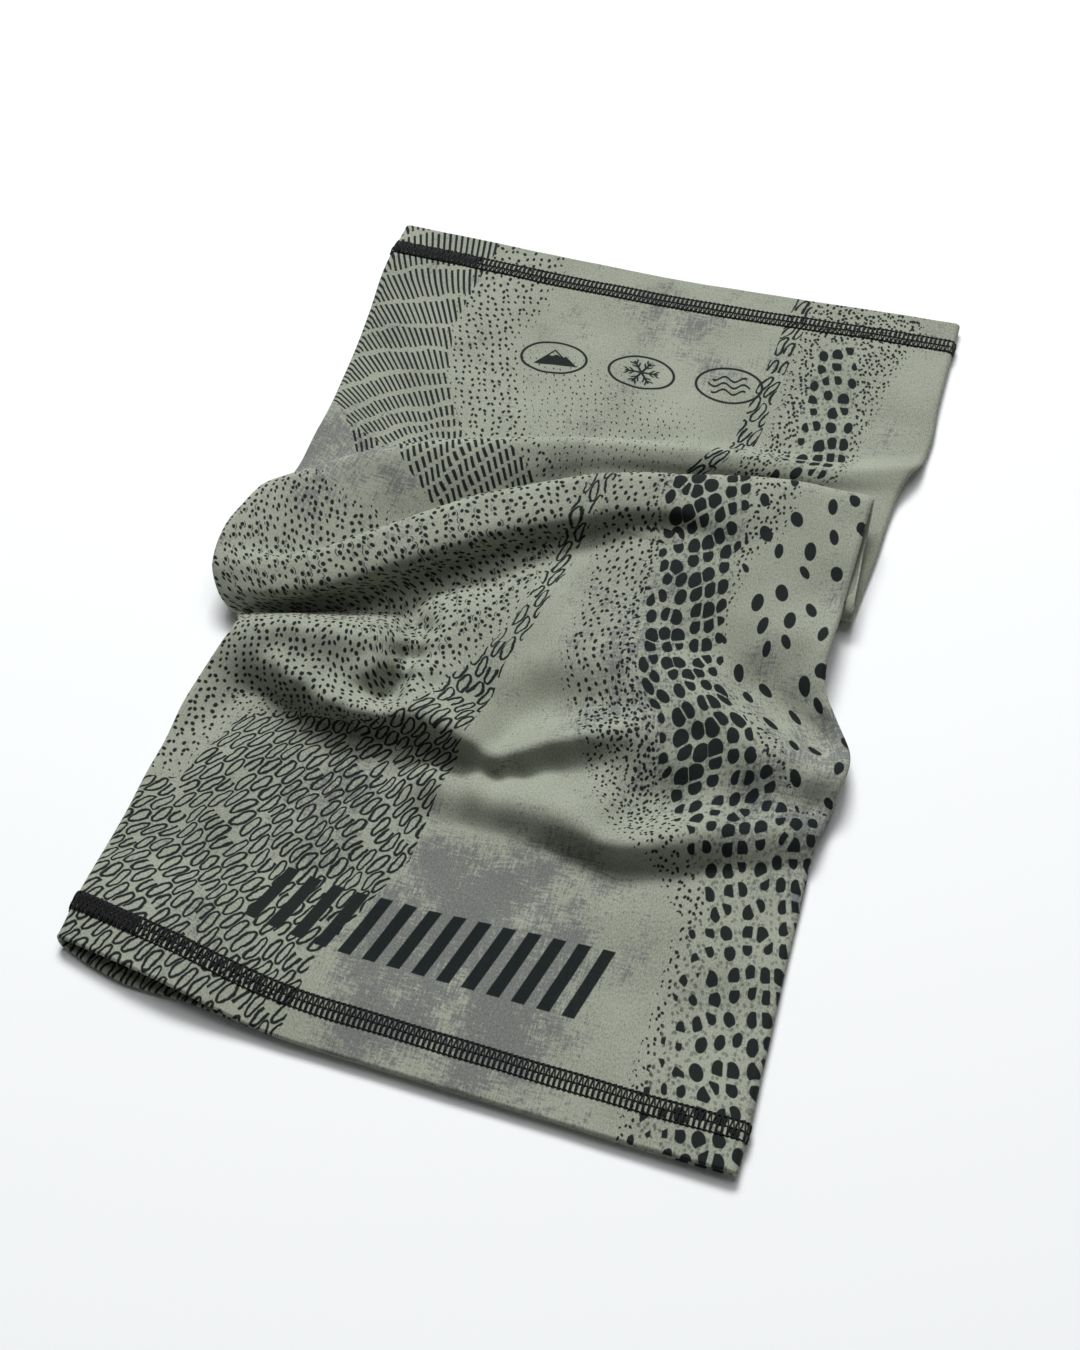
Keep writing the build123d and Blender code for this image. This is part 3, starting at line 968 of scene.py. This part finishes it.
def colour_mix(tree, amount, first, second):
    """The first colour where amount is 0, the second where it is 1."""
    node = tree.nodes.new("ShaderNodeMix")
    node.data_type = "RGBA"
    plug(node.inputs[0], amount)
    plug(node.inputs[6], first)
    plug(node.inputs[7], second)
    return node.outputs[2]


def new_material(name):
    material = bpy.data.materials.new(name)
    material.use_nodes = True
    tree = material.node_tree
    return material, tree, tree.nodes["Principled BSDF"]


def cloth_place(tree):
    """The place on the flat cloth in millimetres, from the piece's own UV map."""
    uv = tree.nodes.new("ShaderNodeUVMap")
    uv.uv_map = "cloth"
    x, y, _ = parts_of(tree, uv.outputs[0])
    return x / MM, y / MM


def use_group(tree, built, **values):
    node = tree.nodes.new("ShaderNodeGroup")
    node.node_tree = built
    for name, value in values.items():
        plug(node.inputs[name], value)
    return node


def add_bump(tree, shader, height, strength, depth):
    """Relief of the height, depth millimetres deep, on the shader's normal."""
    bump = tree.nodes.new("ShaderNodeBump")
    bump.inputs["Strength"].default_value = strength
    bump.inputs["Distance"].default_value = depth * MM
    plug(bump.inputs["Height"], height)
    plug(shader.inputs["Normal"], bump.outputs[0])


def attribute(tree, name):
    node = tree.nodes.new("ShaderNodeAttribute")
    node.attribute_name = name
    return Wire(node.outputs["Fac"])


def printed_cloth(knit, printed):
    """Olive grey brushed jersey with the dark print soaked into its face."""
    material, tree, shader = new_material("printed_jersey")
    x, y = cloth_place(tree)
    grain = use_group(tree, knit, Across=x, Along=y)
    marks = {name.capitalize(): attribute(tree, name) for name in PRINT}
    print_node = use_group(tree, printed, Across=x, Along=y, **marks)
    heather = Wire(grain.outputs["Heather"])
    cloud = Wire(grain.outputs["Cloud"])
    darker = (heather - 0.5) * HEATHER_CONTRAST + 0.34 + (cloud - 0.5) * 0.9
    ground = colour_mix(tree, darker.clamped(), GROUND, GROUND_DARK)
    stain = Wire(print_node.outputs["Stain"]) * (0.4 + heather * 0.7)
    ground = colour_mix(tree, stain, ground, STAIN)
    ink = colour_mix(tree, ((heather - 0.52) * 3).clamped(), INK, INK_LIGHT)
    colour = colour_mix(tree, Wire(print_node.outputs["Ink"]) * 0.97, ground, ink)
    plug(shader.inputs["Base Color"], colour)
    plug(shader.inputs["Roughness"], 0.72 + (heather - 0.5) * 0.25)
    shader.inputs["Sheen Weight"].default_value = 0.03
    shader.inputs["Sheen Roughness"].default_value = 0.4
    shader.inputs["Sheen Tint"].default_value = (0.86, 0.92, 1.0, 1)
    shader.inputs["Specular IOR Level"].default_value = 0.08
    add_bump(tree, shader, Wire(grain.outputs["Height"]), 0.45, 0.09)
    return material


def reverse_cloth(knit):
    """The unprinted inside: paler, with the dye showing through faintly."""
    material, tree, shader = new_material("jersey_reverse")
    x, y = cloth_place(tree)
    grain = use_group(tree, knit, Across=x, Along=y)
    heather = Wire(grain.outputs["Heather"])
    darker = (heather - 0.5) * HEATHER_CONTRAST + 0.4
    plug(shader.inputs["Base Color"],
         colour_mix(tree, darker.clamped(), REVERSE, REVERSE_DARK))
    plug(shader.inputs["Roughness"], 0.8 + (heather - 0.5) * 0.2)
    shader.inputs["Sheen Weight"].default_value = 0.35
    add_bump(tree, shader, Wire(grain.outputs["Height"]), 0.5, 0.12)
    return material


def black_thread():
    """Textured polyester thread: near black, its plies twisting along it."""
    material, tree, shader = new_material("sewing_thread")
    uv = tree.nodes.new("ShaderNodeUVMap")
    uv.uv_map = "cloth"
    along, round_it, _ = parts_of(tree, uv.outputs[0])
    twist = along * float(2 * np.pi / (THREAD_PLY * MM)) + round_it * float(6 * np.pi)
    ply = twist.math("COSINE")
    fuzz = noise(tree, along / MM, round_it * 4, 3.0, 2, 0.6)
    lighter = (ply * 0.3 + fuzz * 0.9 - 0.2).clamped()
    plug(shader.inputs["Base Color"], colour_mix(tree, lighter, THREAD, THREAD_LIGHT))
    plug(shader.inputs["Roughness"], 0.5 + fuzz * 0.2)
    shader.inputs["Sheen Weight"].default_value = 0.02
    shader.inputs["Specular IOR Level"].default_value = 0.25
    add_bump(tree, shader, ply * 0.5 + fuzz * 0.5, 0.5, 0.05)
    return material


# ---------------------------------------------------------------- meshes


def grid_faces(rows, columns, closed_round=False, closed_along=False):
    """Quads between neighbours of a grid whose points are numbered row by row."""
    index = np.arange(rows * columns).reshape(rows, columns)
    if closed_round:
        index = np.concatenate([index, index[:, :1]], axis=1)
    if closed_along:
        index = np.concatenate([index, index[:1]])
    a, b = index[:-1, :-1], index[1:, :-1]
    c, d = index[1:, 1:], index[:-1, 1:]
    return np.stack([a, b, c, d], axis=-1).reshape(-1, 4)


def uv_grid(across, along):
    """A UV place for each point of a grid, from its columns' and its rows' values."""
    return np.stack(np.broadcast_arrays(across, along), axis=-1).reshape(-1, 2)


def make_piece(name, points, faces, uv, materials, normals=None):
    """A mesh piece from points in millimetres, lists of faces, and a UV place per point."""
    faces = [corners for some in faces for corners in some.tolist()]
    corners = np.concatenate(faces)
    mesh = bpy.data.meshes.new(name)
    mesh.from_pydata((points * MM).tolist(), [], faces)
    mesh.polygons.foreach_set("use_smooth", np.ones(len(faces), bool))
    layer = mesh.uv_layers.new(name="cloth")
    layer.data.foreach_set("uv", (uv[corners] * MM).ravel().astype(np.float32))
    if normals is not None:
        mesh.normals_split_custom_set_from_vertices(normals.tolist())
    for material in materials:
        mesh.materials.append(material)
    piece = bpy.data.objects.new(name, mesh)
    bpy.context.collection.objects.link(piece)
    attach(piece, "root")
    return piece


def cloth_piece(name, strip, rows, columns, materials, tube_round=False):
    """A patch of the cloth with its thickness, closed at all its edges.

    Its printed face is the strip moved out by half the thickness and its reverse the
    strip moved in by as much; the rows and columns of the patch are index ranges.
    """
    points, normals, run, turn, strengths = strip
    rows = np.arange(*rows)
    columns = np.arange(*columns) % len(turn)
    pick = np.ix_(rows, columns)
    middle, up = points[pick], normals[pick]
    count = (len(rows), len(columns))
    face, reverse = (middle + side * up * CLOTH / 2 for side in (1, -1))
    stack = np.concatenate([face.reshape(-1, 3), reverse.reshape(-1, 3)])
    outward = np.concatenate([up.reshape(-1, 3), -up.reshape(-1, 3)])
    quads = grid_faces(*count, closed_round=tube_round)
    half = len(rows) * len(columns)
    index = np.arange(half).reshape(count)
    loops = [(index[0], 1), (index[-1], -1)]
    if not tube_round:
        loops += [(index[:, 0], -1), (index[:, -1], 1)]
    rims = []
    for loop, side in loops:
        a, b = loop[:-1], loop[1:]
        if tube_round:
            a, b = loop, np.roll(loop, -1)
        quad = np.stack([a, b, b + half, a + half], axis=-1)
        rims.append(quad if side > 0 else quad[:, ::-1])
    around = turn[columns].astype(float)
    if not tube_round:
        around = np.where(around < around[0] - 1, around + 4 * HALF_WIDTH, around)
    uv = np.tile(uv_grid(around, run[rows][:, None]), (2, 1))
    faces = (quads, quads[:, ::-1] + half, *rims)
    piece = make_piece(name, stack, faces, uv, materials, outward)
    mesh = piece.data
    slots = np.ones(len(mesh.polygons), np.int32)
    slots[:len(quads)] = 0
    mesh.polygons.foreach_set("material_index", slots)
    for kind, strength in strengths.items():
        layer = mesh.attributes.new(kind, "FLOAT", "POINT")
        value = strength[pick].ravel()
        layer.data.foreach_set("value", np.tile(value, 2).astype(np.float32))
    return piece


def tube_along(path, up, radius, sides, closed):
    """A round thread along a path: circles square to it, as points, faces and UV places.

    Each circle's first direction is up, made square to the path. Unless the path is
    closed, a point at each end closes the tube with a fan of triangles.
    """
    if closed:
        ahead = np.roll(path, -1, axis=0) - np.roll(path, 1, axis=0)
    else:
        ahead = np.gradient(path, axis=0)
    ahead /= np.linalg.norm(ahead, axis=1, keepdims=True)
    first = up - ahead * (up * ahead).sum(axis=1, keepdims=True)
    first /= np.linalg.norm(first, axis=1, keepdims=True)
    second = np.cross(ahead, first)
    angle = np.linspace(0, 2 * np.pi, sides, endpoint=False)[None, :, None]
    radius = np.broadcast_to(radius, len(path))[:, None, None]
    out = np.cos(angle) * first[:, None] + np.sin(angle) * second[:, None]
    points = (path[:, None] + radius * out).reshape(-1, 3)
    faces = [grid_faces(len(path), sides, closed_round=True, closed_along=closed)[:, ::-1]]
    step = np.linalg.norm(np.diff(path, axis=0), axis=1)
    run = np.concatenate([[0], np.cumsum(step)])
    uv = uv_grid(run[:, None], np.linspace(0, 1, sides) / MM)
    if not closed:
        near = np.arange(sides)
        far = near + len(points) - sides
        for place, (a, b) in enumerate(((near, np.roll(near, -1)), (np.roll(far, -1), far))):
            faces.append(np.stack([np.full(sides, len(points) + place), a, b], axis=-1))
        points = np.concatenate([points, path[[0, -1]]])
        uv = np.concatenate([uv, uv[[0, -sides]]])
    return points, faces, uv


def thread_piece(node, path, up, radius, material, sides=6, closed=True):
    """A thread that stands for the CAD node of that name."""
    points, faces, uv = tube_along(path, up, radius, sides, closed)
    name = node.replace("thread", "stitches")
    piece = make_piece(name, points, faces, uv, [material])
    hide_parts(node)
    return piece


# ---------------------------------------------------------------- stitches

STITCH_INSET = 10.0  # from the hem's edge to the outer needle row
NEEDLE_GAUGE = 3.2  # between needle rows
STITCHES = 262  # round a hem
LAP_STITCHES = {"far": 21, "near": 15}  # sewn over again where the stitching closes
LAP_PHASE, LAP_LIFT = 0.37, 0.22  # how far on and up they lie on the first ones
THREAD_RADIUS = 0.27
HAND_WANDER = 0.31  # how quickly the sewing wanders, in radians a stitch
# offsets within a stitch, insets as needle rows, and lifts, of the hem looper's turns
LOOPER_TURNS = np.array([
    (0.00, 1.0, 0.42), (0.17, 1.55, 0.52), (0.30, 2.06, 0.34), (0.42, 2.06, 0.34),
    (0.56, 1.5, 0.5), (0.72, 1.0, 0.42), (0.75, 0.5, 0.52), (0.80, -0.06, 0.34),
    (0.95, -0.06, 0.34), (0.98, 0.5, 0.52),
])


def stitch_walk(tube, normal, places, edge):
    """Returns a function from a stitch count and an inset to points and normals on a hem.

    The stitch count runs once round the tube from the left side fold; the inset is the
    distance in from the edge. Both are read off the printed face's grid by straight
    interpolation.
    """
    face = tube + normal * CLOTH / 2
    ring = face[-edge]
    steps = np.linalg.norm(np.diff(ring, axis=0, append=ring[:1]), axis=1)
    length = np.concatenate([[0], np.cumsum(steps)])
    columns = len(face[0])

    def at(count, inset, lift):
        column = np.interp(count / STITCHES % 1 * length[-1], length, np.arange(columns + 1))
        reach = inset if edge == 0 else CUT_LENGTH - inset
        row = np.interp(reach, places, np.arange(len(places)))
        i, j = np.floor(row).astype(int), np.floor(column).astype(int)
        i = np.minimum(i, len(places) - 2)
        s, t = (row - i)[:, None], (column - j)[:, None]
        j0, j1 = j % columns, (j + 1) % columns
        spot, up = (
            (1 - s) * ((1 - t) * grid[i, j0] + t * grid[i, j1])
            + s * ((1 - t) * grid[i + 1, j0] + t * grid[i + 1, j1])
            for grid in (face, normal)
        )
        up /= np.linalg.norm(up, axis=1, keepdims=True)
        return spot + up * lift[:, None], up

    return at


def sew_hem(side, at, thread):
    """Three needle rows and the looper's ladder between them, round one hem.

    A needle row is a line of short stitches whose thickness swells once a stitch. The
    looper runs in V's between the rows further from the edge and in double bars between
    the nearer two.
    """
    pieces = []
    for row in range(3):
        count = np.arange(0, STITCHES, 1 / 6)
        phase = 2 * np.pi * count
        inset = STITCH_INSET + row * NEEDLE_GAUGE
        inset = inset + 0.10 * np.sin(phase) + 0.10 * np.sin(count * HAND_WANDER + row)
        lift = 0.20 + 0.13 * np.cos(phase)
        path, up = at(count, inset, lift)
        radius = THREAD_RADIUS * (1.12 + 0.28 * np.cos(phase))
        name = f"{side}_hem_needle_thread_{row + 1}"
        pieces.append(thread_piece(name, path, up, radius, thread, sides=6))
    stitch = np.arange(STITCHES + LAP_STITCHES[side])[:, None]
    lap = stitch >= STITCHES
    offset, row, lift = LOOPER_TURNS.T
    count = (stitch + offset + LAP_PHASE * lap).ravel()
    row = np.tile(row, len(stitch))
    lift = (lift + LAP_LIFT * lap).ravel()
    inset = STITCH_INSET + row * NEEDLE_GAUGE
    inset = inset + 0.12 * np.sin(count * HAND_WANDER) + 0.07 * np.sin(count * 1.9)
    path, up = at(count, inset, lift)
    pieces.append(thread_piece(f"{side}_hem_looper_thread", path, up, THREAD_RADIUS * 0.92, thread,
                               sides=6, closed=False))
    return pieces


# ---------------------------------------------------------------- the inside seam

SEAM_WIDTH = 7.0
SEAM_NEEDLE_OFFSETS = (2.0, 3.4)  # from the seam's line
SEAM_LOOPER_MIDDLE = 5.6
SEAM_PITCH = 2.4
SEAM_SIDES = 20  # points round the allowance
SEAM_SMOOTHING = 20
ALLOWANCE_CLOTH = 1.5  # two pressed layers


def seam_frame(tube, places):
    """The seam allowance's line inside the left side fold, and its across and up there."""
    rows = (places > HEM_TURN + 1) & (places < CUT_LENGTH - HEM_TURN - 1)
    front, back = tube[rows, SIDE_STEPS], tube[rows, -SIDE_STEPS]
    start = (front + back) / 2
    inner = (tube[rows, SIDE_STEPS + 4] + tube[rows, -SIDE_STEPS - 4]) / 2
    for _ in range(SEAM_SMOOTHING):
        start[1:-1] = (start[:-2] + 2 * start[1:-1] + start[2:]) / 4
        inner[1:-1] = (inner[:-2] + 2 * inner[1:-1] + inner[2:]) / 4
    across = inner - start
    across /= np.linalg.norm(across, axis=1, keepdims=True)
    ahead = np.gradient(start, axis=0)
    ahead /= np.linalg.norm(ahead, axis=1, keepdims=True)
    up = np.cross(across, ahead)
    up /= np.linalg.norm(up, axis=1, keepdims=True)
    return start, across, up * np.sign(up[:, 2:].mean()), places[rows]


def seam_piece(start, across, up, run, material, thread):
    """The allowance, a flat rounded strip, and its four overlocking threads.

    Its section is a circle's cosine and sine, each raised to a power below 1, which
    squares it off.
    """
    around = np.linspace(0, 2 * np.pi, SEAM_SIDES, endpoint=False)
    c, s = np.cos(around), np.sin(around)
    wide = SEAM_WIDTH / 2 + SEAM_WIDTH / 2 * np.sign(c) * np.abs(c) ** 0.5
    thick = ALLOWANCE_CLOTH / 2 * np.sign(s) * np.abs(s) ** 0.6
    points = start[:, None] + wide[:, None] * across[:, None] + thick[:, None] * up[:, None]
    faces = grid_faces(len(start), SEAM_SIDES, closed_round=True)[:, ::-1]
    top = np.arange(1, SEAM_SIDES // 2 + 1)
    below = SEAM_SIDES - top
    cap = np.stack([top[:-1], top[1:], below[1:], below[:-1]], axis=-1)
    far_cap = cap[:, ::-1] + (len(start) - 1) * SEAM_SIDES
    uv = uv_grid(wide - HALF_WIDTH, run[:, None])
    piece = make_piece("seam_allowance", points.reshape(-1, 3), (faces, cap, far_cap), uv,
                       [material])

    def at(count, offset, lift):
        row = np.clip(count * SEAM_PITCH / (run[-1] - run[0]), 0, 1) * (len(start) - 1)
        rows = np.arange(len(start))
        spot, side, rise = (
            np.stack([np.interp(row, rows, line[:, axis]) for axis in range(3)], axis=1)
            for line in (start, across, up)
        )
        return spot + side * offset[:, None] + rise * lift[:, None], rise

    total = (run[-1] - run[0]) / SEAM_PITCH
    threads = []
    for number, offset in enumerate(SEAM_NEEDLE_OFFSETS):
        count = np.arange(0.2, total - 0.2, 1 / 5)
        lift = ALLOWANCE_CLOTH / 2 + 0.05 + 0.1 * np.cos(2 * np.pi * count)
        path, rise = at(count, np.full(len(count), offset), lift)
        threads.append(thread_piece(f"side_seam_needle_thread_{number + 1}", path, rise,
                                    THREAD_RADIUS * 0.9, thread, sides=5, closed=False))
    offsets = (SEAM_NEEDLE_OFFSETS[1], SEAM_LOOPER_MIDDLE, SEAM_WIDTH + 0.15, SEAM_LOOPER_MIDDLE)
    for number, side in enumerate((1, -1)):
        count = np.arange(1, int(total) - 1, 1 / len(offsets))
        offset = np.tile(offsets, int(total) - 2)
        lift = side * np.where(offset > SEAM_WIDTH, 0.3, ALLOWANCE_CLOTH / 2 + 0.1)
        path, rise = at(count, offset, lift)
        threads.append(thread_piece(f"side_seam_looper_thread_{number + 1}", path, rise,
                                    THREAD_RADIUS * 0.8, thread, sides=5, closed=False))
    return piece, threads


# ---------------------------------------------------------------- the scene


def aim_light(name, place, target, size, energy, colour=(1, 1, 1)):
    """A rectangular soft light; place and size are in metres, energy in watts."""
    data = bpy.data.lights.new(name, "AREA")
    data.shape = "RECTANGLE"
    data.size, data.size_y = size
    data.energy, data.color = energy, colour
    lamp = bpy.data.objects.new(name, data)
    lamp.location = place
    lamp.rotation_euler = (Vector(target) - Vector(place)).to_track_quat("-Z", "Y").to_euler()
    bpy.context.collection.objects.link(lamp)


FLOOR_REACH = 3.0  # metres
SURROUND_LIGHT, SURROUND_SEEN = 0.08, 0.85  # what the surround gives, and how pale it looks


def add_studio():
    """A pale floor, a pale surround and two soft lights."""
    mesh = bpy.data.meshes.new("floor")
    corners = [(x * FLOOR_REACH, y * FLOOR_REACH, 0)
               for x, y in ((-1, -1), (1, -1), (1, 1), (-1, 1))]
    mesh.from_pydata(corners, [], [(0, 1, 2, 3)])
    floor = bpy.data.objects.new("floor", mesh)
    bpy.context.collection.objects.link(floor)
    material, _, shader = new_material("pale_table")
    shader.inputs["Base Color"].default_value = (0.945, 0.95, 0.955, 1)
    shader.inputs["Roughness"].default_value = 0.6
    shader.inputs["Specular IOR Level"].default_value = 0.2
    mesh.materials.append(material)
    world = bpy.data.worlds.new("studio")
    bpy.context.scene.world = world
    world.use_nodes = True
    tree = world.node_tree
    background = tree.nodes["Background"]
    background.inputs[0].default_value = (0.97, 0.985, 1, 1)
    seen = tree.nodes.new("ShaderNodeLightPath").outputs["Is Camera Ray"]
    strength = tree.nodes.new("ShaderNodeMapRange")
    strength.inputs["To Min"].default_value = SURROUND_LIGHT
    strength.inputs["To Max"].default_value = SURROUND_SEEN
    tree.links.new(seen, strength.inputs["Value"])
    tree.links.new(strength.outputs["Result"], background.inputs[1])
    aim_light("window", (-1.3, 3.2, 3.9), (0, 0, 0), (2.2, 1.3), 225, (0.96, 0.985, 1))
    aim_light("overhead", (-0.3, 1.0, 2.3), (0, 0, 0), (2.2, 1.7), 30)
    bpy.context.scene.view_settings.view_transform = "Standard"


# The front is divided in three along the cloth and the back in two, so that each piece is
# of a size to handle; the hems go all round.
PATCHES = {
    "knit_front_far": (HEM_TURN, 150, 0), "knit_front_middle": (150, 318, 0),
    "knit_front_near": (318, CUT_LENGTH - HEM_TURN, 0),
    "knit_back_far": (HEM_TURN, 240, 1), "knit_back_near": (240, CUT_LENGTH - HEM_TURN, 1),
}

add_camera()
tube, places, turn = tube_surface()
normal = closed_normals(tube)
points, normals, run = whole_strip(tube, normal, places)
strip = (points, normals, run, turn, print_strengths(turn, run))

knit, printed = build_knit(), build_print()
faces_of_cloth = (printed_cloth(knit, printed), reverse_cloth(knit))
thread = black_thread()

far_edge = HEM_ROWS + HEM_FOLD_STEPS  # the strip's row at the tube's far edge
front_end = int(np.searchsorted(turn, HALF_WIDTH)) + 1
for name, (start, end, side) in PATCHES.items():
    low, high = (int(np.argmin(np.abs(places - limit))) + far_edge for limit in (start, end))
    columns = (0, front_end) if side == 0 else (front_end - 1, len(turn) + 1)
    piece = cloth_piece(name, strip, (low, high + 1), columns, faces_of_cloth)
    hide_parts("knit_panel")
seam, seam_threads = seam_piece(*seam_frame(tube, places), faces_of_cloth[1], thread)
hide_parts("knit_panel")
hem_end = far_edge + HEM_ROWS + 1  # the strip's first row past the far hem
for side, edge in (("far", 0), ("near", 1)):
    threads = sew_hem(side, stitch_walk(tube, normal, places, edge), thread)
    rows = (0, hem_end) if edge == 0 else (len(points) - hem_end, len(points))
    piece = cloth_piece(f"knit_hem_{side}", strip, rows, (0, len(turn)), faces_of_cloth,
                        tube_round=True)
    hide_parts("knit_panel")
add_studio()
